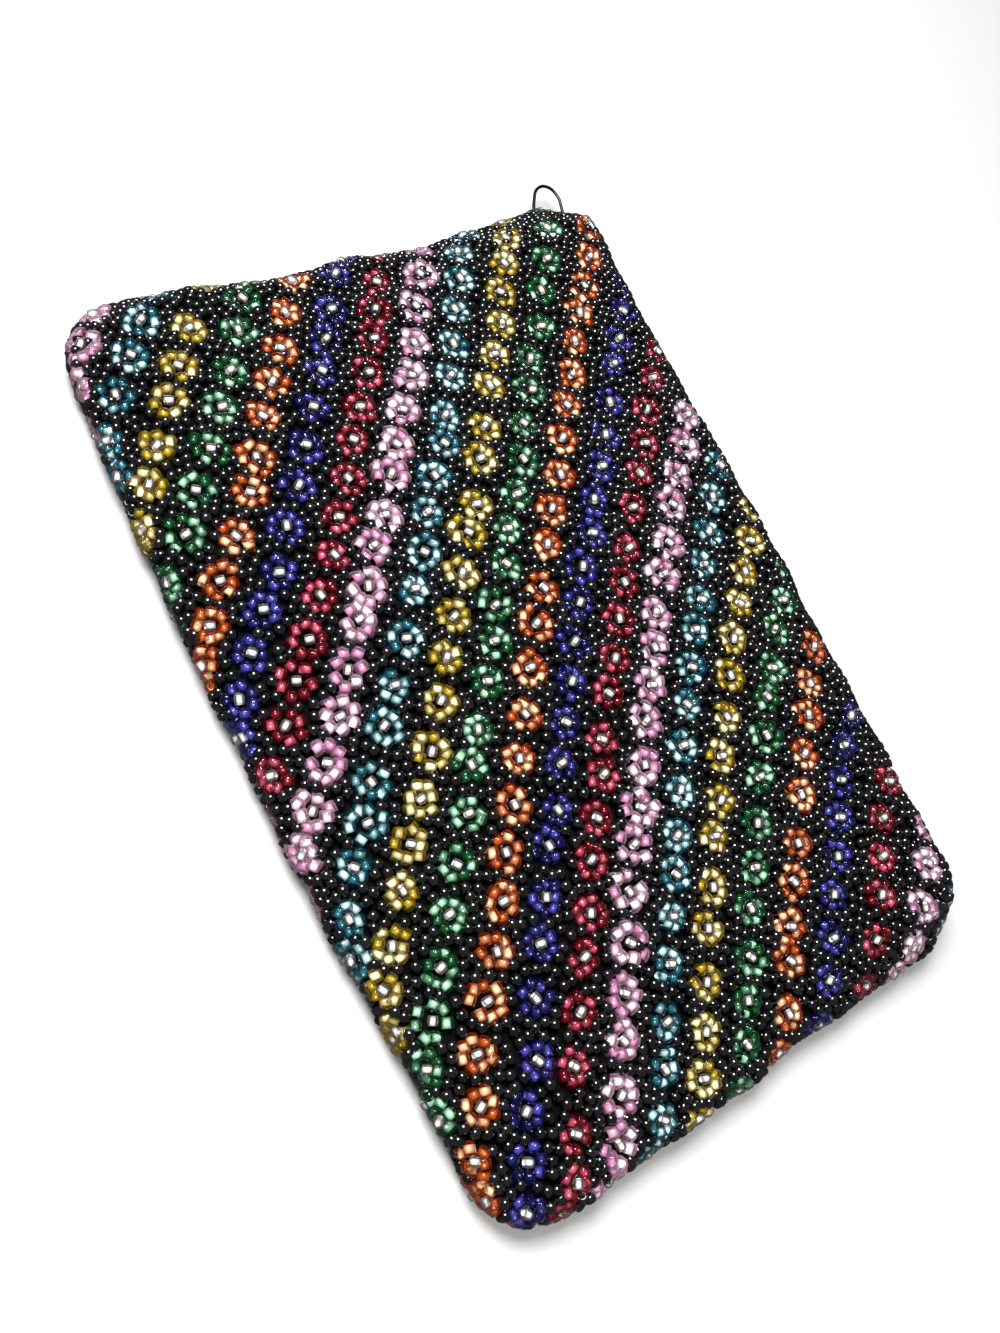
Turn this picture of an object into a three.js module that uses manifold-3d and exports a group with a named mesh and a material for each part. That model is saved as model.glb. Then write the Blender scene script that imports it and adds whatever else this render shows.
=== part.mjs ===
// Beaded zip pouch lying flat on its back, in millimetres with +Z up.
// X runs along the zip from the ring end to the plain end, Y from the folded edge to the zip edge.
// The origin is the middle of the face it rests on.

import * as THREE from "three";
import { mergeVertices } from "three/addons/utils/BufferGeometryUtils.js";
import Module from "manifold-3d";

const wasm = await Module();
wasm.setup();

// Pouch body
const HALF_LENGTH = 89.6;
const HALF_HEIGHT = 63.0;
const WALL = 2.6; // cloth and the beads sewn on it
const SEAM_GAP = 0.3;
const SEAM_Z = 4.2; // height of the sewn edge above the table
const CROWN_Z = 14.4; // highest point of the front
const CROWN_FULLNESS = 1.7;
const CROWN_FADE = 6;
const ROLL_WIDTH = 5.2; // how far in from the edge the wall turns over
const ROLL_HEIGHT = 4.2;
const ROLL_HEIGHT_AT_ZIP = 2.9;

// Corner radii in turn, anticlockwise seen from above
const CORNERS = [
  { at: "zip, plain end", signX: 1, signY: 1, radius: 14 },
  { at: "zip, ring end", signX: -1, signY: 1, radius: 9 },
  { at: "fold, ring end", signX: -1, signY: -1, radius: 16 },
  { at: "fold, plain end", signX: 1, signY: -1, radius: 13 },
];

const CORNER_TIGHTENING = 0.25; // loss of radius with each millimetre inwards
const SMALLEST_RADIUS = 1.5;

// How far each edge's middle stands out beyond its ends, less than zero where it is pulled in
const BOW = { ringEnd: -3.4, plainEnd: 0.2, fold: 3.0, zip: 1.2 };
const BOW_PIVOT = 0.45; // share of the bow by which the ends move the other way

// Waves along the edges: depth, number over the edge's length and start in turns
const WAVES = {
  ringEnd: { depth: 0.45, count: 3, start: 0.15 },
  plainEnd: { depth: 0.5, count: 2.1, start: 0.5 },
  fold: { depth: 0.35, count: 3, start: 0.7 },
  zip: { depth: 0.45, count: 2, start: 0.3 },
};

// Shallow hollows and swellings of the front
const DENTS = [
  { x: -48, y: -16, spreadX: 15, spreadY: 20, depth: 1.5 },
  { x: 66, y: 18, spreadX: 10, spreadY: 26, depth: 0.9 },
  { x: -66, y: 34, spreadX: 18, spreadY: 12, depth: 0.6 },
  { x: 18, y: -44, spreadX: 34, spreadY: 9, depth: 0.7 },
  { x: 34, y: 34, spreadX: 26, spreadY: 14, depth: -0.5 },
];

// Mouth along the zip edge
const MOUTH_FULL_X = 80.8; // fully open as far as this from the middle
const MOUTH_END_X = 87.8; // closed from here on
const MOUTH_RISE_Y = 8; // the front starts to rise towards the zip here
const MOUTH_FULL_Y = 47;
const MOUTH_FRONT_LIFT = 5.5;
const MOUTH_BACK_DROP = 1.1;

// Zip
const TAPE = { halfLength: 77, width: 11.4, thick: 1.0, edgeY: 60.0, frontZ: 8.55, backZ: 3.25 };
const CHAIN = { startX: -70.4, endRail: 0.6, rail: 1.0, thick: 1.8, y: 59.0 };
const TOOTH = { count: 60, pitch: 2.4, width: 0.9, reach: 1.5, taper: 0.12, frontPhase: 0.3, backPhase: 1.5 };
const CHAIN_LOW_Z = 4.5;
const CHAIN_HIGH_Z = 8.3;
const SLIDER = { startX: -76.4, length: 10, plate: 1.0, outerHeight: 5.4, innerHeight: 3.4, gap: 0.3 };
const SLIDER_NECK = { startX: -75.6, length: 4.4, height: 2.4 };
const PULL = { startX: -73.4, length: 21, height: 3.4, thick: 0.9, hole: 0.8, stand: 0.4 };
const BAIL = { length: 3.4, height: 1.8 };

// Wire loop held in the seam at the ring end
const RING_ANGLE = THREE.MathUtils.degToRad(153); // round the corner's arc
const RING_WIRE = 0.3;
const RING_CLEARANCE = 0.32;
const RING_SLOT = { near: 7, far: 12 }; // the seam stays open round the loop

// Half of the loop: out from the pouch's edge and to the side
const RING_HALF = [
  { out: 8.6, side: 0.0 },
  { out: 7.3, side: 2.4 },
  { out: 3.9, side: 3.5 },
  { out: 0.2, side: 3.8 },
  { out: -2.8, side: 3.7 },
  { out: -4.4, side: 2.7 },
  { out: -4.7, side: 0.0 },
];

const CORNER_STEPS = 6;
const EDGE_STEPS = [14, 10, 14, 10]; // zip, ring end, fold, plain end
const ROLL_INSETS = [0, 0.22, 0.85, 1.9, 3.3, 5.2];
const FIELD_INSETS = [10, 17, 26, 37, 49, 60];

const INK = new THREE.MeshStandardMaterial({ color: 0x1b1a20, roughness: 0.3, metalness: 0 });
const INK_BACK = new THREE.MeshStandardMaterial({ color: 0x18171c, roughness: 0.32, metalness: 0 });
const TAPE_CLOTH = new THREE.MeshStandardMaterial({ color: 0x121214, roughness: 0.85, metalness: 0 });
const TEETH_PLASTIC = new THREE.MeshStandardMaterial({ color: 0x1f1f22, roughness: 0.45, metalness: 0 });
const SLIDER_METAL = new THREE.MeshStandardMaterial({ color: 0x8d8a84, roughness: 0.32, metalness: 1 });
const RING_METAL = new THREE.MeshStandardMaterial({ color: 0x3c3430, roughness: 0.35, metalness: 1 });

const lerp = THREE.MathUtils.lerp;
const smooth = (value, low, high) => THREE.MathUtils.smoothstep(value, low, high);

const radiusAt = (corner, inset) => Math.max(corner.radius - inset * CORNER_TIGHTENING, SMALLEST_RADIUS);

// Rounded rectangle drawn in by an inset, always with the same number of points
function flatRing(inset) {
  const points = [];
  CORNERS.forEach((corner, index) => {
    const radius = radiusAt(corner, inset);
    const centreX = corner.signX * (HALF_LENGTH - inset - radius);
    const centreY = corner.signY * (HALF_HEIGHT - inset - radius);
    for (let step = 0; step <= CORNER_STEPS; step++) {
      const angle = (index + step / CORNER_STEPS) * Math.PI * 0.5;
      points.push(new THREE.Vector2(centreX + radius * Math.cos(angle), centreY + radius * Math.sin(angle)));
    }
    const next = CORNERS[(index + 1) % CORNERS.length];
    const nextRadius = radiusAt(next, inset);
    const nextAngle = (index + 1) * Math.PI * 0.5;
    const end = new THREE.Vector2(
      next.signX * (HALF_LENGTH - inset - nextRadius) + nextRadius * Math.cos(nextAngle),
      next.signY * (HALF_HEIGHT - inset - nextRadius) + nextRadius * Math.sin(nextAngle),
    );
    const start = points[points.length - 1].clone();
    for (let step = 1; step < EDGE_STEPS[index]; step++) {
      points.push(start.clone().lerp(end, step / EDGE_STEPS[index]));
    }
  });
  return points;
}

const wave = (edge, along) => edge.depth * Math.sin(2 * Math.PI * (edge.count * along + edge.start));

// Pulls the straight rectangle into the pouch's slightly uneven outline
function settle(point) {
  const alongX = point.x / HALF_LENGTH;
  const alongY = point.y / HALF_HEIGHT;
  const endWave = point.x < 0 ? WAVES.ringEnd : WAVES.plainEnd;
  const sideWave = point.y < 0 ? WAVES.fold : WAVES.zip;
  const endBow = point.x < 0 ? BOW.ringEnd : BOW.plainEnd;
  const sideBow = point.y < 0 ? BOW.fold : BOW.zip;
  const acrossEnd = Math.max(0, 1 - alongY * alongY);
  const acrossSide = Math.max(0, 1 - alongX * alongX);
  const endRipple = wave(endWave, alongY * 0.5) * smooth(acrossEnd, 0, 0.4);
  const sideRipple = wave(sideWave, alongX * 0.5) * smooth(acrossSide, 0, 0.4);
  const endShift = (endBow * (acrossEnd - BOW_PIVOT) + endRipple) * alongX ** 4;
  const sideShift = (sideBow * (acrossSide - BOW_PIVOT) + sideRipple) * alongY ** 4;
  return new THREE.Vector2(point.x + Math.sign(point.x) * endShift, point.y + Math.sign(point.y) * sideShift);
}

// How far the open mouth lifts the wall at a point, from 0 to 1
function mouthAt(point) {
  const towardsZip = smooth(point.y, MOUTH_RISE_Y, MOUTH_FULL_Y);
  const towardsEnd = smooth(Math.abs(point.x), MOUTH_FULL_X, MOUTH_END_X);
  return towardsZip * (1 - towardsEnd);
}

const ringCorner = CORNERS[1];
const ringPlace = new THREE.Vector3(
  ringCorner.signX * (HALF_LENGTH - ringCorner.radius) + ringCorner.radius * Math.cos(RING_ANGLE),
  ringCorner.signY * (HALF_HEIGHT - ringCorner.radius) + ringCorner.radius * Math.sin(RING_ANGLE),
  SEAM_Z,
);

// Half of the gap between the two rims, wider where the wire loop comes out
function halfGap(point) {
  const away = Math.hypot(point.x - ringPlace.x, point.y - ringPlace.y);
  return lerp(RING_WIRE + RING_CLEARANCE, SEAM_GAP / 2, smooth(away, RING_SLOT.near, RING_SLOT.far));
}

const roll = (share) => Math.sqrt(Math.max(0, 1 - (1 - share) * (1 - share)));

function dentAt(point) {
  return DENTS.reduce((sum, dent) => {
    const across = ((point.x - dent.x) / dent.spreadX) ** 2 + ((point.y - dent.y) / dent.spreadY) ** 2;
    return sum + dent.depth * Math.exp(-across);
  }, 0);
}

// Pillow shape of the front, 0 along its edges and 1 in the middle
function crownAt(point) {
  const acrossX = Math.max(0, 1 - (point.x / (HALF_LENGTH - ROLL_WIDTH)) ** 2);
  const acrossY = Math.max(0, 1 - (point.y / (HALF_HEIGHT - ROLL_WIDTH)) ** 2);
  return 1 - (1 - acrossX * acrossY) ** CROWN_FULLNESS;
}

// Height of the front wall's outer face, or of its inner face when it is drawn in by the wall
function frontHeight(inset, mouth, point, wall) {
  const rim = SEAM_Z + halfGap(point) + mouth * MOUTH_FRONT_LIFT;
  const rise = lerp(ROLL_HEIGHT, ROLL_HEIGHT_AT_ZIP, mouth) - wall;
  if (inset <= ROLL_WIDTH) {
    return rim + rise * roll((inset - wall) / (ROLL_WIDTH - wall));
  }
  const fade = smooth(inset, ROLL_WIDTH, ROLL_WIDTH + CROWN_FADE);
  return lerp(rim + rise, CROWN_Z - wall, crownAt(point) * fade) - dentAt(point) * fade;
}

function backHeight(inset, mouth, point, wall) {
  const rim = SEAM_Z - halfGap(point) - mouth * MOUTH_BACK_DROP;
  if (inset <= ROLL_WIDTH) {
    return rim - (rim - wall) * roll((inset - wall) / (ROLL_WIDTH - wall));
  }
  return wall;
}

function panelRing(inset, wall, height) {
  const deepest = FIELD_INSETS[FIELD_INSETS.length - 1];
  const shifted = lerp(wall, deepest, inset / deepest);
  return flatRing(shifted).map((flat) => {
    const point = settle(flat);
    return new THREE.Vector3(point.x, point.y, height(shifted, mouthAt(flat), point, wall));
  });
}

// Skin through a row of closed rings, capped at both ends
function loft(rings) {
  const count = rings[0].length;
  const positions = rings.flat().flatMap((point) => point.toArray());
  const indices = [];
  for (let row = 0; row + 1 < rings.length; row++) {
    for (let column = 0; column < count; column++) {
      const next = (column + 1) % count;
      const here = row * count;
      const there = here + count;
      indices.push(here + column, there + column, there + next);
      indices.push(here + column, there + next, here + next);
    }
  }
  const cap = (row, flip) => {
    const middle = rings[row].reduce((sum, point) => sum.add(point), new THREE.Vector3()).divideScalar(count);
    const hub = positions.push(...middle.toArray()) / 3 - 1;
    for (let column = 0; column < count; column++) {
      const edge = [row * count + column, row * count + ((column + 1) % count)];
      indices.push(hub, ...(flip ? edge.reverse() : edge));
    }
  };
  cap(0, false);
  cap(rings.length - 1, true);
  const geometry = new THREE.BufferGeometry();
  geometry.setAttribute("position", new THREE.Float32BufferAttribute(positions, 3));
  geometry.setIndex(indices);
  return geometry;
}

function toSolid(source) {
  const bare = source.clone();
  bare.deleteAttribute("normal");
  bare.deleteAttribute("uv");
  const merged = mergeVertices(bare, 1e-4);
  return new wasm.Manifold(new wasm.Mesh({
    numProp: 3,
    vertProperties: Float32Array.from(merged.attributes.position.array),
    triVerts: Uint32Array.from(merged.index.array),
  }));
}

function toGeometry(solid) {
  const mesh = solid.getMesh();
  const geometry = new THREE.BufferGeometry();
  geometry.setAttribute("position", new THREE.Float32BufferAttribute(mesh.vertProperties, 3));
  geometry.setIndex(Array.from(mesh.triVerts));
  geometry.computeVertexNormals();
  return geometry;
}

function box(sizeX, sizeY, sizeZ, x, y, z) {
  return new THREE.BoxGeometry(sizeX, sizeY, sizeZ).translate(x, y, z);
}

function addNode(parent, name, geometry, material) {
  const mesh = new THREE.Mesh(geometry, material);
  mesh.name = name;
  parent.add(mesh);
  return mesh;
}

// Wire loop: closed path in its own frame, out along X and to the side along Y
function loopPath() {
  const other = RING_HALF.slice(1, -1).reverse();
  const outline = [
    ...RING_HALF.map((row) => new THREE.Vector3(row.out, row.side, 0)),
    ...other.map((row) => new THREE.Vector3(row.out, -row.side, 0)),
  ];
  return new THREE.CatmullRomCurve3(outline, true, "centripetal");
}

const loopTube = (radius, sides) => new THREE.TubeGeometry(loopPath(), 48, radius, sides, true);

// Front and back walls
const insets = [...ROLL_INSETS, ...FIELD_INSETS];
const inwards = (wall, height) => insets.map((inset) => panelRing(inset, wall, height));
const frontShell = loft([...inwards(0, frontHeight).reverse(), ...inwards(WALL, frontHeight)]);
const backShell = loft([...inwards(WALL, backHeight).reverse(), ...inwards(0, backHeight)]);

// One row of teeth: a rail with teeth on its inner side, drawn along X and Z
function toothRow(railZ, towards, phase) {
  const length = TOOTH.pitch * TOOTH.count + CHAIN.endRail;
  const inner = railZ + towards * CHAIN.rail;
  const tip = inner + towards * TOOTH.reach;
  const shape = new THREE.Shape();
  shape.moveTo(0, railZ);
  shape.lineTo(0, inner);
  for (let tooth = 0; tooth < TOOTH.count; tooth++) {
    const start = tooth * TOOTH.pitch + phase;
    shape.lineTo(start, inner);
    shape.lineTo(start + TOOTH.taper, tip);
    shape.lineTo(start + TOOTH.width - TOOTH.taper, tip);
    shape.lineTo(start + TOOTH.width, inner);
  }
  shape.lineTo(length, inner);
  shape.lineTo(length, railZ);
  const row = new THREE.ExtrudeGeometry(shape, { depth: CHAIN.thick, bevelEnabled: false });
  return row.rotateX(Math.PI / 2).translate(0, CHAIN.thick / 2, 0);
}

// Slider: plates before and behind the teeth, a neck between them, and the pull on its bail
function sliderSolid() {
  const middleZ = (CHAIN_LOW_Z + CHAIN_HIGH_Z) / 2;
  const middleX = SLIDER.startX + SLIDER.length / 2;
  const reach = CHAIN.thick / 2 + SLIDER.gap;
  const plateY = reach + SLIDER.plate / 2;
  const pullY = reach + SLIDER.plate + PULL.stand + PULL.thick / 2;
  const neckX = SLIDER_NECK.startX + SLIDER_NECK.length / 2;
  const bailX = PULL.startX + BAIL.length / 2;
  const outer = box(SLIDER.length, SLIDER.plate, SLIDER.outerHeight, middleX, plateY, middleZ);
  const inner = box(SLIDER.length, SLIDER.plate, SLIDER.innerHeight, middleX, -plateY, middleZ);
  const neck = box(SLIDER_NECK.length, 2 * plateY, SLIDER_NECK.height, neckX, 0, middleZ);
  const bail = box(BAIL.length, pullY - plateY, BAIL.height, bailX, (pullY + plateY) / 2, middleZ);
  const tab = new THREE.Shape();
  const half = PULL.height / 2;
  const farX = PULL.length - half;
  tab.moveTo(0, -half);
  tab.lineTo(farX, -half);
  tab.absarc(farX, 0, half, -Math.PI / 2, Math.PI / 2, false);
  tab.lineTo(0, half);
  const hole = new THREE.Path();
  hole.absarc(farX, 0, PULL.hole, 0, 2 * Math.PI, true);
  tab.holes.push(hole);
  const blade = new THREE.ExtrudeGeometry(tab, { depth: PULL.thick, bevelEnabled: false, curveSegments: 6 });
  blade.rotateX(Math.PI / 2).translate(PULL.startX, pullY + PULL.thick / 2, middleZ);
  return [inner, neck, bail, blade].map(toSolid).reduce((sum, solid) => sum.add(solid), toSolid(outer));
}

const pouch = new THREE.Group();
pouch.name = "beaded_zip_pouch";
addNode(pouch, "front_panel", frontShell, INK);
addNode(pouch, "back_panel", backShell, INK_BACK);

const zip = new THREE.Group();
zip.name = "zip";
pouch.add(zip);
const tapeY = TAPE.edgeY - TAPE.width / 2;
const frontTape = box(2 * TAPE.halfLength, TAPE.width, TAPE.thick, 0, tapeY, TAPE.frontZ + TAPE.thick / 2);
const backTape = box(2 * TAPE.halfLength, TAPE.width, TAPE.thick, 0, tapeY, TAPE.backZ + TAPE.thick / 2);
addNode(zip, "zip_tape_front", frontTape, TAPE_CLOTH);
addNode(zip, "zip_tape_back", backTape, TAPE_CLOTH.clone());

const chain = new THREE.Group();
chain.name = "zip_chain";
chain.position.set(0, CHAIN.y, 0);
zip.add(chain);
const frontRow = toothRow(CHAIN_HIGH_Z, -1, TOOTH.frontPhase);
const backRow = toothRow(CHAIN_LOW_Z, 1, TOOTH.backPhase);
addNode(chain, "zip_teeth_front", frontRow, TEETH_PLASTIC).position.x = CHAIN.startX;
addNode(chain, "zip_teeth_back", backRow, TEETH_PLASTIC.clone()).position.x = CHAIN.startX;
addNode(chain, "zip_slider", toGeometry(sliderSolid()), SLIDER_METAL);

const ring = addNode(pouch, "strap_ring", loopTube(RING_WIRE, 8), RING_METAL);
ring.position.copy(ringPlace);
ring.rotation.z = RING_ANGLE;

export default pouch;
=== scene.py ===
import bpy
import bmesh
import math
import numpy as np
from mathutils import Matrix, Quaternion, Vector, noise
from mathutils.bvhtree import BVHTree
from mathutils.kdtree import KDTree


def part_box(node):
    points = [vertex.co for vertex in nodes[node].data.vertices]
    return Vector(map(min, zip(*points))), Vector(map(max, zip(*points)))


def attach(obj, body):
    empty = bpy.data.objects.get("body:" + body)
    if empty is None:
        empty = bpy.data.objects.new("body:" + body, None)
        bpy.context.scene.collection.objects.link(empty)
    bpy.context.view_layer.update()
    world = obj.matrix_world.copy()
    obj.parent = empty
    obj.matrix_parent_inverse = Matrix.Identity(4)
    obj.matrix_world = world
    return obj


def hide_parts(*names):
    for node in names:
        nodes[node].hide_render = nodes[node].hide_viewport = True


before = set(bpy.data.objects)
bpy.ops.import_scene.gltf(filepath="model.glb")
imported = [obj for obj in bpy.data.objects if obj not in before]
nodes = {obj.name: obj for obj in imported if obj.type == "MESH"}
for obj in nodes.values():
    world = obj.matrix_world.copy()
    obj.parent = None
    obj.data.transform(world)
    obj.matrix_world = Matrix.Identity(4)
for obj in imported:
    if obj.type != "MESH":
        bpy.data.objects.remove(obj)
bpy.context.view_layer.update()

scene = bpy.context.scene
mm = 0.001
chance = np.random.default_rng(23)
print("frame loaded:", len(nodes), "CAD nodes")


def addToScene(name, data):
    obj = bpy.data.objects.new(name, data)
    scene.collection.objects.link(obj)
    return obj


def meshFrom(bm, name):
    mesh = bpy.data.meshes.new(name)
    bm.to_mesh(mesh)
    bm.free()
    return mesh


def newMaterial(name, sockets):
    material = bpy.data.materials.new(name)
    material.use_nodes = True
    tree = material.node_tree
    shader = tree.nodes["Principled BSDF"]
    for socket, value in sockets.items():
        shader.inputs[socket].default_value = value
    return material, tree, shader


def addNode(tree, kind, inputs=None, **options):
    node = tree.nodes.new(kind)
    for key, value in options.items():
        setattr(node, key, value)
    for key, value in (inputs or {}).items():
        if isinstance(value, bpy.types.NodeSocket):
            tree.links.new(value, node.inputs[key])
        else:
            node.inputs[key].default_value = value
    return node


def objectPlace(tree):
    return addNode(tree, "ShaderNodeTexCoord").outputs["Object"]


def objectNoise(tree, scale, detail=2.0):
    inputs = {"Vector": objectPlace(tree), "Scale": scale, "Detail": detail}
    return addNode(tree, "ShaderNodeTexNoise", inputs).outputs["Fac"]


# a random number for each bead: it sets each bead's own tone, and on the coloured linings it also sets a
# painted highlight and painted shade
def beadTintAndPaintedGlint(tree):
    return addNode(tree, "ShaderNodeAttribute", attribute_name="tintAndPaintedGlint").outputs["Fac"]


def twoColours(tree, factor, dark, light, span=(0.0, 1.0)):
    ramp = addNode(tree, "ShaderNodeValToRGB", {"Fac": factor})
    for element, position, colour in zip(ramp.color_ramp.elements, span, (dark, light)):
        element.position = position
        element.color = (*colour, 1)
    return ramp.outputs["Color"]


def spread(tree, value, low, high):
    inputs = {"Value": value, "To Min": low, "To Max": high}
    return addNode(tree, "ShaderNodeMapRange", inputs).outputs["Result"]


def mottled(name, look):
    material, tree, shader = newMaterial(name, look["sockets"])
    colour = twoColours(tree, objectNoise(tree, look["patches"]), look["dark"], look["light"])
    tree.links.new(colour, shader.inputs["Base Color"])
    gloss = spread(tree, objectNoise(tree, look["grain"], look["detail"]), *look["roughness"])
    tree.links.new(gloss, shader.inputs["Roughness"])
    return material


def woven(tree, shader, wave, look):
    inputs = {"Height": wave.outputs["Fac"], "Strength": look["bump"], "Distance": look["bumpDeep"] * mm}
    bump = addNode(tree, "ShaderNodeBump", inputs)
    tree.links.new(bump.outputs["Normal"], shader.inputs["Normal"])


# camera, floor and light
cameraSet = {"target": (-0.92, -6.53, 0.0), "distance": 273.09, "azimuth": -78.78, "elevation": 55.47,
             "roll": 53.2, "lens": 38.19, "sensor": 36, "nearest": 10}
azimuth = math.radians(cameraSet["azimuth"])
elevation = math.radians(cameraSet["elevation"])
roll = Quaternion((0, 0, 1), math.radians(cameraSet["roll"]))
lookBack = Vector((math.cos(elevation) * math.cos(azimuth), math.cos(elevation) * math.sin(azimuth),
                   math.sin(elevation)))
target = Vector(cameraSet["target"]) * mm
cameraData = bpy.data.cameras.new("photoCamera")
cameraData.lens = cameraSet["lens"]
cameraData.sensor_width = cameraSet["sensor"]
cameraData.clip_start = cameraSet["nearest"] * mm
camera = addToScene("photoCamera", cameraData)
camera.location = target + lookBack * cameraSet["distance"] * mm
camera.rotation_mode = "QUATERNION"
camera.rotation_quaternion = lookBack.to_track_quat("Z", "Y") @ roll
scene.camera = camera
scene.view_settings.view_transform = "Standard"

floorSet = {"half": 1.5, "colour": (0.45, 0.45, 0.446), "darker": 0.02, "patches": 9}
bm = bmesh.new()
bmesh.ops.create_grid(bm, x_segments=1, y_segments=1, size=floorSet["half"])
floor = addToScene("floor", meshFrom(bm, "floor"))
paper, tree, shader = newMaterial("palePaper", {"Roughness": 0.9, "Specular IOR Level": 0.1})
pale = Vector(floorSet["colour"])
shade = twoColours(tree, objectNoise(tree, floorSet["patches"]), pale * (1 - floorSet["darker"]), pale)
tree.links.new(shade, shader.inputs["Base Color"])
floor.data.materials.append(paper)
floor.visible_glossy = False  # so the edges of the beads stay dark

lightSet = {
    "world": 0.13,
    "lamps": {
        "keyLight": {"from": (-0.50, -0.20, 0.84), "distance": 0.62, "width": 0.38, "power": 11.0,
                     "glints": True},
        "fillLight": {"from": (0.75, -0.25, 0.6), "distance": 0.9, "width": 0.6, "power": 8.0,
                      "glints": False}}}
world = bpy.data.worlds.new("studio")
scene.world = world
world.use_nodes = True
background = world.node_tree.nodes["Background"]
background.inputs["Color"].default_value = (1, 1, 1, 1)
background.inputs["Strength"].default_value = lightSet["world"]
for name, look in lightSet["lamps"].items():
    lamp = bpy.data.lights.new(name, "AREA")
    lamp.shape = "DISK"
    lamp.size = look["width"]
    lamp.energy = look["power"]
    lampObject = addToScene(name, lamp)
    lampFrom = Vector(look["from"]).normalized()
    lampObject.location = lampFrom * look["distance"]
    lampObject.rotation_mode = "QUATERNION"
    lampObject.rotation_quaternion = lampFrom.to_track_quat("Z", "Y")
    lampObject.visible_glossy = look["glints"]
print("camera, floor and lights placed")


# bead-covered faces of the two panels, taken from the CAD walls
panels = {"front": {"node": "front_panel", "side": 1, "folded": False, "span": 140},
          "back": {"node": "back_panel", "side": -1, "folded": True, "span": 205}}  # runs on past the fold
skinSet = {"merge": 0.001, "upright": 0.3, "level": -0.05}


def looksOut(face, side):
    upright = face.normal.z * side
    sideways = face.normal.xy.dot(face.calc_center_median().xy)
    return upright > skinSet["upright"] or (upright > skinSet["level"] and sideways > 0)


def outerFace(panel):
    bm = bmesh.new()
    bm.from_mesh(nodes[panel["node"]].data)
    bmesh.ops.remove_doubles(bm, verts=bm.verts, dist=skinSet["merge"] * mm)
    bm.normal_update()
    hidden = [face for face in bm.faces if not looksOut(face, panel["side"])]
    bmesh.ops.delete(bm, geom=hidden, context="FACES")
    bm.normal_update()
    return bm


for panel in panels.values():
    panel["skin"] = outerFace(panel)
    panel["tree"] = BVHTree.FromBMesh(panel["skin"])
    print(panel["node"], "outer face:", len(panel["skin"].faces), "faces")


# every bead is looked up by the small box that it lies in
cell = 2.6 * mm


def cellOf(point):
    return tuple(math.floor(c / cell) for c in point)


def take(taken, point):
    taken.setdefault(cellOf(point), []).append(tuple(point))


def roomFor(taken, point, gap):
    px, py, pz = point
    i, j, k = cellOf(point)
    for a in (i - 1, i, i + 1):
        for b in (j - 1, j, j + 1):
            for c in (k - 1, k, k + 1):
                for qx, qy, qz in taken.get((a, b, c), ()):
                    if (px - qx) ** 2 + (py - qy) ** 2 + (pz - qz) ** 2 < gap * gap:
                        return False
    return True


# how a bead lies: it leans a little, in a layer with soft lumps that are higher at the edges
lie = {"lean": 0.12, "lump": 0.55, "rimLump": 0.9, "lumpLong": 9, "offFloor": 0.55}


def beadAt(place, normal, axis, long, wide, lift=0.0):
    normal = (normal + Vector(chance.normal(0, lie["lean"], 3))).normalized()
    axis = (axis - normal * axis.dot(normal)).normalized()
    turn = Matrix((axis, normal.cross(axis), normal)).transposed().to_quaternion()
    lump = lie["lump"] + lie["rimLump"] * (1 - abs(normal.z))
    lift += lump * noise.noise(place / (lie["lumpLong"] * mm))
    place = place - normal * (wide / 2 - lift) * mm
    place.z = max(place.z, lie["offFloor"] * wide * mm)  # the flat back stays on the floor
    return {"place": place, "turn": turn, "size": (long / 2 * mm, wide / 2 * mm, wide / 2 * mm),
            "tintAndPaintedGlint": chance.uniform()}


# flower stripes: the level rises by one from each stripe to the next
stripes = {
    "order": ("orange", "blue", "red", "pink", "turquoise", "yellow", "green"), "counts": (-28, 14),
    "unit": 100, "start": 0.63, "perX": 7.63, "perY": 9.15,  # levels to each unit of x and y
    "bends": ((2, 0, -0.43), (1, 1, -0.46), (0, 2, -0.95),  # powers of x and y, then their share
              (3, 0, -0.79), (2, 1, 0.23), (1, 2, -0.68), (0, 3, -1.43)),
    "settle": 5, "flowerGap": 8.4, "gapSpread": 0.55, "leastStep": 7.4, "sway": 0.35, "leastGap": 6.0,
    "foldY": -63, "foldWidth": 8, "hemBand": 2.6, "above": 50, "fromSeam": 2.4, "overEdge": 5.0}
flower = {
    "petals": (7, 7, 7, 8, 8), "ring": 2.45, "ringFixed": 0.6, "ringGrows": 0.4, "ringSpread": 0.13,
    "squeeze": 0.07, "turnSpread": 0.08, "petalSpread": 0.16, "twist": 0.4, "offWall": 1.3, "leastGap": 1.25,
    "petalLong": 2.05, "longSpread": (0.94, 1.06), "petalWide": 2.8, "wideSpread": (0.96, 1.04),
    "centreLong": 1.75, "centreWide": 2.0, "centreLift": 0.35, "grow": {"pink": 1.07, "turquoise": 0.97}}
slope = Vector((stripes["perX"], stripes["perY"])) / stripes["unit"]
pitch = 1 / slope.length
slopeSin, slopeCos = slope * pitch


def stripeLevel(x, y, folded):
    level = stripes["start"] + x * slope.x + y * slope.y
    if not folded:
        unit = stripes["unit"]
        level += sum(share * (x / unit) ** i * (y / unit) ** j for i, j, share in stripes["bends"])
    return level


def stripeSpots(panel):
    for count in range(*stripes["counts"]):
        along = -panel["span"] + chance.uniform(0, stripes["flowerGap"])
        while along < panel["span"]:
            across = count * pitch
            for step in range(stripes["settle"]):  # moves onto the bent stripe
                x = along * slopeCos + across * slopeSin
                y = across * slopeCos - along * slopeSin
                across += (count - stripeLevel(x, y, panel["folded"])) * pitch
            swayX, swayY = chance.normal(0, stripes["sway"], 2)
            yield count, x + swayX, y + swayY
            along += max(stripes["leastStep"], chance.normal(stripes["flowerGap"], stripes["gapSpread"]))


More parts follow.
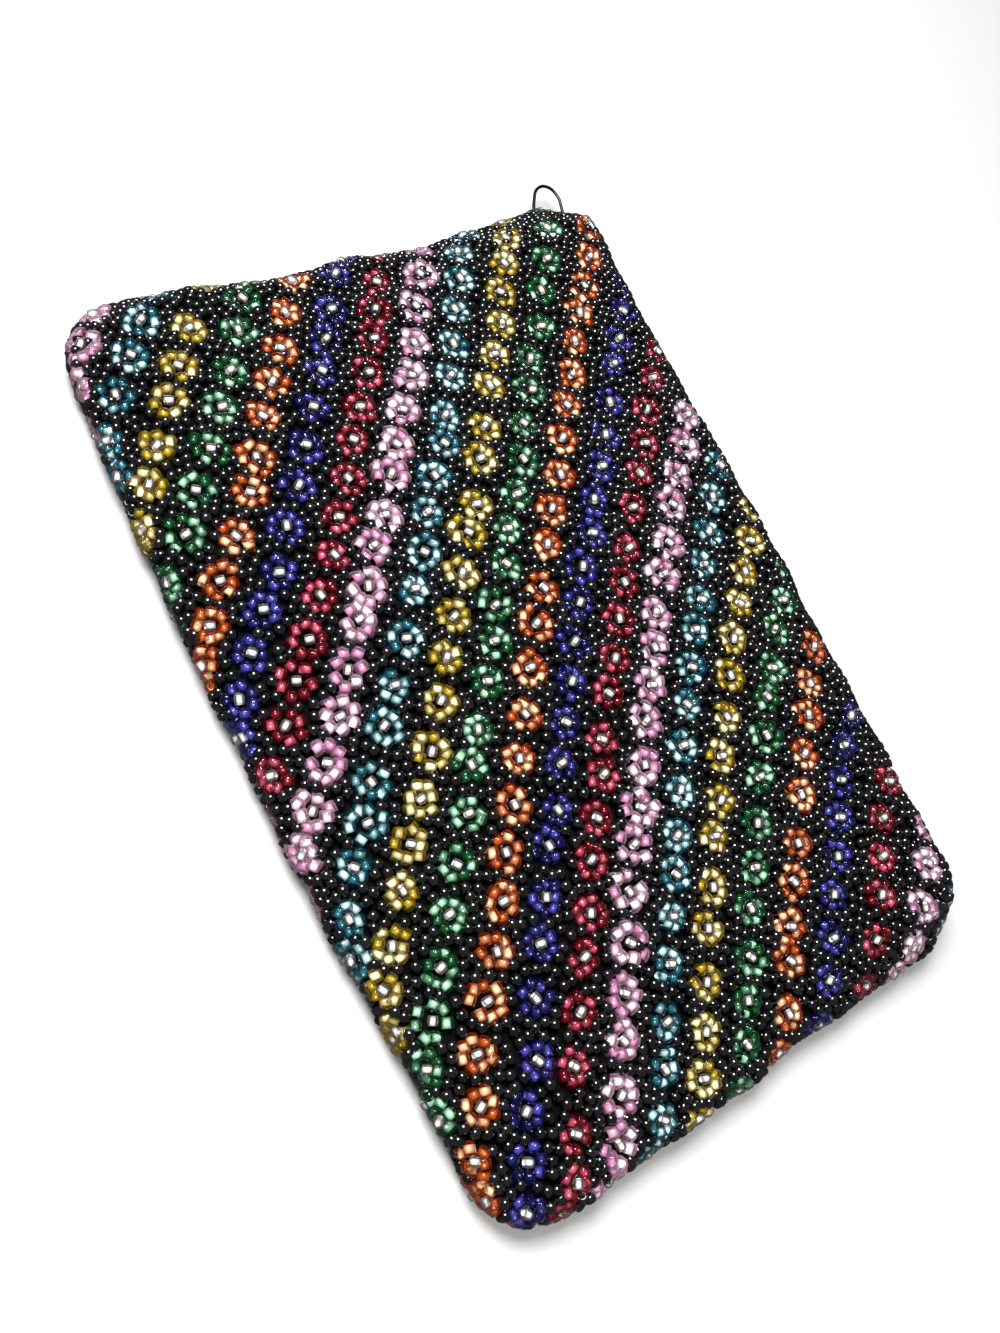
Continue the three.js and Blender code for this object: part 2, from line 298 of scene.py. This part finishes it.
def flowerAt(panel, spot, normal, colour, hemY, beads, taken):
    right = normal.orthogonal().normalized()
    up = normal.cross(right)
    petals = int(chance.choice(flower["petals"]))
    start = chance.uniform(0, math.tau)
    grow = flower["grow"].get(colour, 1.0)
    share = flower["ringFixed"] + flower["ringGrows"] * petals / min(flower["petals"])
    ring = flower["ring"] * share * grow + chance.normal(0, flower["ringSpread"])
    squeeze = 1 + chance.normal(0, flower["squeeze"])
    for step in range(petals):
        angle = start + math.tau * step / petals + chance.normal(0, flower["turnSpread"])
        outward = right * math.cos(angle) * squeeze + up * math.sin(angle) / squeeze
        aim = spot + outward * (ring + chance.normal(0, flower["petalSpread"])) * mm
        place, facing, _, gap = panel["tree"].find_nearest(aim)
        astray = gap > flower["offWall"] * mm or place.y > hemY
        if astray or not roomFor(taken, place, flower["leastGap"] * mm):
            continue
        axis = normal.cross(outward) + outward * chance.normal(0, flower["twist"])
        long = flower["petalLong"] * grow * chance.uniform(*flower["longSpread"])
        wide = flower["petalWide"] * grow * chance.uniform(*flower["wideSpread"])
        beads[colour].append(beadAt(place, facing, axis, long, wide))
        take(taken, place)
    if spot.y > hemY:
        return
    angle = chance.uniform(0, math.tau)
    axis = right * math.cos(angle) + up * math.sin(angle)
    lift = flower["centreLift"] * max(normal.z * panel["side"], 0)
    beads["clear"].append(beadAt(spot, normal, axis, flower["centreLong"], flower["centreWide"], lift))
    take(taken, spot)


def flowersOn(panel, beads, taken):
    tree, side = panel["tree"], panel["side"]
    low, high = (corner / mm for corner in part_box(panel["node"]))
    seamZ = high.z if side < 0 else low.z
    hemY = (high.y - stripes["hemBand"]) * mm
    centres = []
    for count, x, y in stripeSpots(panel):
        if panel["folded"]:
            y = 2 * stripes["foldY"] - stripes["foldWidth"] - y
        above = Vector((x, y, side * stripes["above"])) * mm
        spot, normal = tree.ray_cast(above, Vector((0, 0, -side)))[:2]
        if spot is None:  # past the edge, where the wall rolls over
            beside = Vector((x, y, seamZ + side * stripes["fromSeam"])) * mm
            spot, normal, _, gap = tree.find_nearest(beside)
            if gap > stripes["overEdge"] * mm:
                continue
        if any((spot - other).length < stripes["leastGap"] * mm for other in centres):
            continue
        centres.append(spot)
        colour = stripes["order"][count % len(stripes["order"])]
        flowerAt(panel, spot, normal, colour, hemY, beads, taken)
    return len(centres)


# black ground: a row along each rim, then a close random packing pushed even
ground = {
    "gap": 1.98, "start": 0.85, "tries": 90000, "fills": 2, "rounds": 9, "least": 1.64,
    "long": (1.65, 1.95), "wide": (1.98, 2.24), "pushFree": 0.5, "pushHeld": 0.9, "pushEase": 0.8,
    "rimGap": 2.0, "rimIn": 1.0, "rowGap": 1.85, "rowShift": 0.5, "hemRows": 2, "hemFrom": 54,
    "tight": 0.16, "tightFrom": -10, "tightOver": 60}


def rimLoop(panel):
    edges = [edge for edge in panel["skin"].edges if edge.is_boundary]
    follow = {}
    for edge in edges:
        for vert in edge.verts:
            follow.setdefault(vert, []).append(edge.other_vert(vert))
    loop = [edges[0].verts[0]]
    before = None
    while True:
        following = [vert for vert in follow[loop[-1]] if vert != before]
        before = loop[-1]
        if not following or following[0] == loop[0]:
            return [vert.co.copy() for vert in loop]
        loop.append(following[0])


def rimRow(panel, beads, taken, row):
    tree, loop = panel["tree"], rimLoop(panel)
    walked = ground["rowShift"] * row * ground["rimGap"] * mm
    for start, end in zip(loop, loop[1:] + loop[:1]):
        step = end - start
        while walked < step.length:
            place, normal = tree.find_nearest(start + step.normalized() * walked)[:2]
            walked += ground["rimGap"] * mm
            if row and place.y < ground["hemFrom"] * mm:  # later rows lie on the hem alone
                continue
            for move in [ground["rimIn"]] + [ground["rowGap"]] * row:
                inward = step.normalized().cross(normal)
                if inward.z * panel["side"] < 0:
                    inward.negate()
                place, normal = tree.find_nearest(place + inward * move * mm)[:2]
            if roomFor(taken, place, ground["least"] * mm):
                beads.append(beadAt(place, normal, step, ground["long"][0], ground["wide"][0]))
                take(taken, place)
        walked -= step.length


def dartsOn(skin):
    corners = np.array([[vert.co for vert in face.verts] for face in skin.faces])
    edgeA, edgeB = corners[:, 1] - corners[:, 0], corners[:, 2] - corners[:, 0]
    areas = np.linalg.norm(np.cross(edgeA, edgeB), axis=1)
    picked = chance.choice(len(corners), ground["tries"], p=areas / areas.sum())
    a, b = chance.uniform(size=(2, ground["tries"], 1))
    over = a + b > 1
    a, b = np.where(over, 1 - a, a), np.where(over, 1 - b, b)
    return corners[picked, 0] + a * edgeA[picked] + b * edgeB[picked]


def crowding(point):
    share = (ground["tightFrom"] - point[0] / mm) / ground["tightOver"]
    return 1 - ground["tight"] * min(max(share, 0), 1)  # beads lie closer towards the ring end


def pushApart(tree, held, free):
    for step in range(ground["rounds"]):
        near = KDTree(len(held) + len(free))
        for index, point in enumerate(free + held):
            near.insert(point, index)
        near.balance()
        moved = []
        for index, point in enumerate(free):
            push, gap = Vector(), ground["gap"] * crowding(point) * mm
            for other, which, far in near.find_range(point, gap):
                if which != index and far > 0:
                    share = ground["pushFree"] if which < len(free) else ground["pushHeld"]
                    push += (point - other) / far * (gap - far) * share
            moved.append(tree.find_nearest(point + push * ground["pushEase"])[0])
        free = moved
    return free


def groundOn(panel, beads, taken):
    tree = panel["tree"]
    held = [Vector(point) for points in taken.values() for point in points]
    free = []
    for fill in range(ground["fills"]):
        filled = {}
        for point in held + free:
            take(filled, point)
        for dart in dartsOn(panel["skin"]):
            if roomFor(filled, dart, ground["gap"] * ground["start"] * crowding(dart) * mm):
                take(filled, dart)
                free.append(Vector(dart))
        free = pushApart(tree, held, free)
    kept = {}
    for point in held:
        take(kept, point)
    for point in free:
        place, normal = tree.find_nearest(point)[:2]
        close = crowding(place)
        if not roomFor(kept, place, ground["least"] * close * mm):
            continue
        take(kept, place)
        axis = Quaternion(normal, chance.uniform(0, math.tau)) @ normal.orthogonal().normalized()
        long = close * chance.uniform(*ground["long"])
        wide = close * chance.uniform(*ground["wide"])
        beads.append(beadAt(place, normal, axis, long, wide))


layout = {}
for name, panel in panels.items():
    beads = {colour: [] for colour in (*stripes["order"], "clear", "black")}
    taken = {}
    flowers = flowersOn(panel, beads, taken)
    for row in range(ground["hemRows"]):
        rimRow(panel, beads["black"], taken, row)
    rows = len(beads["black"])
    groundOn(panel, beads["black"], taken)
    layout[name] = beads
    print(name, "flowers", flowers, "rim beads", rows, "black beads", len(beads["black"]))


# one bead of each kind, its section spun round the hole, which runs along X
beadShapes = {
    "lined": {"steps": 10, "section": ((-0.9, 0.5), (-0.96, 0.86), (0.0, 1.0), (0.96, 0.86), (0.9, 0.5))},
    "fine": {"steps": 10, "section": ((-0.88, 0.3), (-0.96, 0.86), (0.0, 1.0), (0.96, 0.86), (0.88, 0.3))},
    "plain": {"steps": 8, "section": ((-0.9, 0.45), (-0.62, 0.93), (0.62, 0.93), (0.9, 0.45))}}
holeMargin = 0.01


def beadShape(kind):
    shape = beadShapes[kind]
    bm = bmesh.new()
    section = [bm.verts.new((along, 0, out)) for along, out in shape["section"]]
    edges = [bm.edges.new((section[i - 1], section[i])) for i in range(len(section))]
    bmesh.ops.spin(bm, geom=section + edges, axis=(1, 0, 0), cent=(0, 0, 0), angle=math.tau,
                   steps=shape["steps"], use_merge=True)
    bmesh.ops.recalc_face_normals(bm, faces=bm.faces)
    hole = shape["section"][0][1] + holeMargin
    for face in bm.faces:
        face.smooth = True
        middle = face.calc_center_median()
        face.material_index = 1 if math.hypot(middle.y, middle.z) < hole else 0
    mesh = meshFrom(bm, "bead_" + kind)
    for surface in ("outside", "hole"):  # two places to fill, so that the joined mesh keeps both
        mesh.materials.append(bpy.data.materials.new(surface + "_" + kind))
    return addToScene("bead_" + kind, mesh)


def strewTree(template):
    tree = bpy.data.node_groups.new("strew_" + template.name, "GeometryNodeTree")
    tree.interface.new_socket("Geometry", in_out="INPUT", socket_type="NodeSocketGeometry")
    tree.interface.new_socket("Geometry", in_out="OUTPUT", socket_type="NodeSocketGeometry")
    source = addNode(tree, "NodeGroupInput").outputs["Geometry"]
    shape = addNode(tree, "GeometryNodeObjectInfo", {"Object": template})
    turn = addNode(tree, "GeometryNodeInputNamedAttribute", {"Name": "turn"}, data_type="QUATERNION")
    size = addNode(tree, "GeometryNodeInputNamedAttribute", {"Name": "size"}, data_type="FLOAT_VECTOR")
    strewn = addNode(tree, "GeometryNodeInstanceOnPoints", {
        "Points": source, "Instance": shape.outputs["Geometry"], "Rotation": turn.outputs["Attribute"],
        "Scale": size.outputs["Attribute"]})
    solid = addNode(tree, "GeometryNodeRealizeInstances", {"Geometry": strewn.outputs["Instances"]})
    addNode(tree, "NodeGroupOutput", {"Geometry": solid.outputs["Geometry"]})
    return tree


templates = {kind: beadShape(kind) for kind in beadShapes}
strewTrees = {kind: strewTree(template) for kind, template in templates.items()}


def strew(name, beads, kind, materials):
    mesh = bpy.data.meshes.new(name)
    mesh.vertices.add(len(beads))
    mesh.vertices.foreach_set("co", np.array([bead["place"] for bead in beads], np.float32).ravel())
    for key, dataType, field in (("turn", "QUATERNION", "value"), ("size", "FLOAT_VECTOR", "vector"),
                                 ("tintAndPaintedGlint", "FLOAT", "value")):
        layer = mesh.attributes.new(key, dataType, "POINT")
        layer.data.foreach_set(field, np.array([bead[key] for bead in beads], np.float32).ravel())
    obj = addToScene(name, mesh)
    obj.modifiers.new("strew", "NODES").node_group = strewTrees[kind]
    depsgraph = bpy.context.evaluated_depsgraph_get()
    solid = bpy.data.meshes.new_from_object(obj.evaluated_get(depsgraph), preserve_all_data_layers=True,
                                            depsgraph=depsgraph)
    obj.modifiers.clear()
    obj.data = solid
    for key in ("turn", "size"):
        if key in solid.attributes:
            solid.attributes.remove(solid.attributes[key])
    for index, material in enumerate(materials):
        solid.materials[index] = material
    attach(obj, "root")


glassSet = {
    "outside": {"Roughness": 0.06, "IOR": 1.52, "Coat Weight": 1.0, "Coat Roughness": 0.03, "Coat IOR": 1.8},
    "hole": {"Metallic": 0.3, "Roughness": 0.22},
    "shades": (0.5, 0.85), "blend": 0.6, "alpha": (0.03, 1.0), "liningSpan": (0.25, 0.85)}
# glass: deep colour of the glass; lining: deep colour of the lined hole; pale: light end of the lining,
# partly a paler bead and partly a painted highlight
glassColours = {
    "orange": {"glass": (0.24, 0.02, 0.002), "lining": (0.44, 0.08, 0.01), "pale": (1.0, 0.68, 0.36)},
    "blue": {"glass": (0.004, 0.0035, 0.055), "lining": (0.004, 0.0035, 0.05), "pale": (0.06, 0.055, 0.34)},
    "red": {"glass": (0.085, 0.0006, 0.004), "lining": (0.13, 0.002, 0.008), "pale": (0.62, 0.09, 0.15)},
    "pink": {"glass": (0.44, 0.23, 0.33), "lining": (0.66, 0.24, 0.44), "pale": (1.0, 0.96, 0.98)},
    "turquoise": {"glass": (0.002, 0.05, 0.075), "lining": (0.02, 0.12, 0.16), "pale": (0.62, 0.92, 0.93)},
    "yellow": {"glass": (0.19, 0.12, 0.004), "lining": (0.4, 0.27, 0.015), "pale": (1.0, 0.96, 0.56)},
    "green": {"glass": (0.0016, 0.045, 0.012), "lining": (0.006, 0.07, 0.02), "pale": (0.42, 0.8, 0.52)},
    "clear": {"glass": (0.16, 0.14, 0.13), "lining": (0.93, 0.91, 0.89), "pale": (1.0, 0.99, 0.98)}}


def glassMaterials(colour):
    look = glassColours[colour]
    glass, tree, shader = newMaterial(colour + "Glass", glassSet["outside"])
    dark, light = (Vector(look["glass"]) * share for share in glassSet["shades"])
    tree.links.new(twoColours(tree, beadTintAndPaintedGlint(tree), dark, light), shader.inputs["Base Color"])
    edge = addNode(tree, "ShaderNodeLayerWeight", {"Blend": glassSet["blend"]}).outputs["Facing"]
    depth = spread(tree, edge, *glassSet["alpha"])  # glass is deeper towards its edge
    tree.links.new(depth, shader.inputs["Alpha"])
    lining, tree, shader = newMaterial(colour + "Lining", glassSet["hole"])
    # each lining gets a random colour from its deep colour to pale: partly the real spread of bead colours,
    # partly painted highlight and painted shade for beads turned towards and away from the lamp
    liningToneAndPaintedGlint = twoColours(tree, beadTintAndPaintedGlint(tree), look["lining"], look["pale"], glassSet["liningSpan"])
    tree.links.new(liningToneAndPaintedGlint, shader.inputs["Base Color"])
    return glass, lining


blackSet = {"dark": (0.001, 0.001, 0.0012), "light": (0.005, 0.0047, 0.0053), "grain": 420,
            "roughness": (0.05, 0.14), "reach": 100,  # pieces lie along X, as far as the reach
            "pieces": {"front": ("ring", "middle", "plain"), "back": ("ring", "plain")}}
black, tree, shader = newMaterial("blackGlass", {"IOR": 1.7})
shade = twoColours(tree, beadTintAndPaintedGlint(tree), blackSet["dark"], blackSet["light"])
tree.links.new(shade, shader.inputs["Base Color"])
gloss = spread(tree, objectNoise(tree, blackSet["grain"]), *blackSet["roughness"])
tree.links.new(gloss, shader.inputs["Roughness"])

for colour in (*stripes["order"], "clear"):
    materials = glassMaterials(colour)
    for name, kind in (("front", "lined"), ("back", "plain")):
        strew(f"{name}_{colour}_beads", layout[name][colour], kind, materials)
for name, kind in (("front", "fine"), ("back", "plain")):
    ends = blackSet["pieces"][name]
    limits = np.linspace(-blackSet["reach"], blackSet["reach"], len(ends) + 1) * mm
    for end, low, high in zip(ends, limits[:-1], limits[1:]):
        part = [bead for bead in layout[name]["black"] if low <= bead["place"].x < high]
        strew(f"{name}_black_beads_{end}", part, kind, (black, black))
for template in templates.values():
    spare = list(template.data.materials)
    bpy.data.objects.remove(template)
    for material in spare:
        bpy.data.materials.remove(material)
print("beads strewn")


# cloth under the beads
cloth = {"under": 2.0, "thick": 0.55, "flat": (0.186, 0.137), "patches": 300, "weave": 2600, "bump": 0.3,
         "bumpDeep": 0.1, "dark": (0.0004, 0.0004, 0.0005), "light": (0.0016, 0.0014, 0.0016)}
satin, tree, shader = newMaterial("blackSatin", {"Roughness": 0.9, "Specular IOR Level": 0.1})
shade = twoColours(tree, objectNoise(tree, cloth["patches"]), cloth["dark"], cloth["light"])
tree.links.new(shade, shader.inputs["Base Color"])
weave = addNode(tree, "ShaderNodeTexWave", {"Vector": objectPlace(tree), "Scale": cloth["weave"]})
woven(tree, shader, weave, cloth)
for name, panel in panels.items():
    bm = panel["skin"]
    for vert in bm.verts:
        vert.co -= vert.normal * cloth["under"] * mm
    for face in bm.faces:
        face.smooth = True
    obj = addToScene(name + "_cloth", meshFrom(bm, name + "_cloth"))
    wall = obj.modifiers.new("cloth", "SOLIDIFY")
    wall.thickness = cloth["thick"] * mm
    wall.offset = -1
    obj.data.materials.append(satin)
    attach(obj, "root")
    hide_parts(panel["node"])
print("cloth made")


# zip: the tapes are made new, the teeth and slider keep their CAD shapes
tape = {"thick": 0.7, "wave": 0.1, "waveLong": 33, "cells": (140, 10), "dark": (0.0048, 0.0048, 0.00528),
        "light": (0.018, 0.018, 0.0198), "twill": 900, "distortion": 1.0, "bump": 0.6, "bumpDeep": 0.15}
tapeCloth, tree, shader = newMaterial("blackTwill", {"Roughness": 0.85, "Specular IOR Level": 0.2})
inputs = {"Vector": objectPlace(tree), "Scale": tape["twill"], "Distortion": tape["distortion"]}
twill = addNode(tree, "ShaderNodeTexWave", inputs, bands_direction="DIAGONAL")
shade = twoColours(tree, twill.outputs["Fac"], tape["dark"], tape["light"])
tree.links.new(shade, shader.inputs["Base Color"])
woven(tree, shader, twill, tape)
for node in ("zip_tape_front", "zip_tape_back"):
    low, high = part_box(node)
    size, middle = high - low, (low + high) / 2
    bm = bmesh.new()
    bmesh.ops.create_grid(bm, x_segments=tape["cells"][0], y_segments=tape["cells"][1], size=0.5)
    bmesh.ops.scale(bm, vec=(size.x, size.y, 1), verts=bm.verts)
    bmesh.ops.translate(bm, vec=middle, verts=bm.verts)
    for vert in bm.verts:
        vert.co.z += tape["wave"] * mm * math.sin(math.tau * vert.co.x / (tape["waveLong"] * mm))
    for face in bm.faces:
        face.smooth = True
    obj = addToScene(node + "_cloth", meshFrom(bm, node + "_cloth"))
    wall = obj.modifiers.new("tape", "SOLIDIFY")
    wall.thickness = tape["thick"] * mm
    wall.offset = 0
    obj.data.materials.append(tapeCloth)
    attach(obj, "root")
    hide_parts(node)

zipLooks = {
    "blackTeeth": {"sockets": {"IOR": 1.5}, "patches": 350, "dark": (0.008, 0.008, 0.009),
                   "light": (0.026, 0.025, 0.027), "grain": 900, "detail": 2.0, "roughness": (0.3, 0.5)},
    "dullNickel": {"sockets": {"Metallic": 1.0}, "patches": 500, "dark": (0.32, 0.31, 0.29),
                   "light": (0.5, 0.49, 0.46), "grain": 1400, "detail": 4.0, "roughness": (0.22, 0.42)}}
teeth, nickel = (mottled(name, look) for name, look in zipLooks.items())
for node, material in (("zip_teeth_front", teeth), ("zip_teeth_back", teeth), ("zip_slider", nickel)):
    for slot in nodes[node].material_slots:
        slot.material = material
print("zip dressed")


# wire loop, bent through the same points as the solid one and put where that is
loopSet = {"angle": 153, "wire": 0.36, "tip": 8.6, "bar": -4.7, "smooth": 10, "round": 4,
           "half": ((7.3, 2.4), (3.9, 3.5), (0.2, 3.8), (-2.8, 3.7), (-4.4, 2.7))}
wireLook = {"sockets": {"Metallic": 1.0}, "patches": 700, "dark": (0.02, 0.017, 0.015),
            "light": (0.07, 0.055, 0.048), "grain": 1500, "detail": 2.0, "roughness": (0.25, 0.45)}
upper = [(loopSet["tip"], 0.0), *loopSet["half"], (loopSet["bar"], 0.0)]
lower = [(out, -aside) for out, aside in reversed(loopSet["half"])]
curve = bpy.data.curves.new("wireLoop", "CURVE")
curve.dimensions = "3D"
curve.bevel_depth = loopSet["wire"] * mm
curve.bevel_resolution = loopSet["round"]
curve.resolution_u = loopSet["smooth"]
spline = curve.splines.new("BEZIER")
spline.bezier_points.add(len(upper + lower) - 1)
spline.use_cyclic_u = True
spin = Matrix.Rotation(math.radians(loopSet["angle"]), 3, "Z")
for point, (out, aside) in zip(spline.bezier_points, upper + lower):
    point.co = spin @ Vector((out, aside, 0)) * mm
    point.handle_left_type = point.handle_right_type = "AUTO"
bent = addToScene("wire_loop", curve)
depsgraph = bpy.context.evaluated_depsgraph_get()
mesh = bpy.data.meshes.new_from_object(bent.evaluated_get(depsgraph), depsgraph=depsgraph)
bpy.data.objects.remove(bent)
ring = addToScene("wire_loop", mesh)
low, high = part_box("strap_ring")
corners = np.array([vert.co for vert in mesh.vertices])
mesh.transform(Matrix.Translation((low + high) / 2 - Vector((corners.min(0) + corners.max(0)) / 2)))
mesh.shade_smooth()
mesh.materials.clear()
mesh.materials.append(mottled("darkWire", wireLook))
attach(ring, "root")
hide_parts("strap_ring")
print("wire loop made")
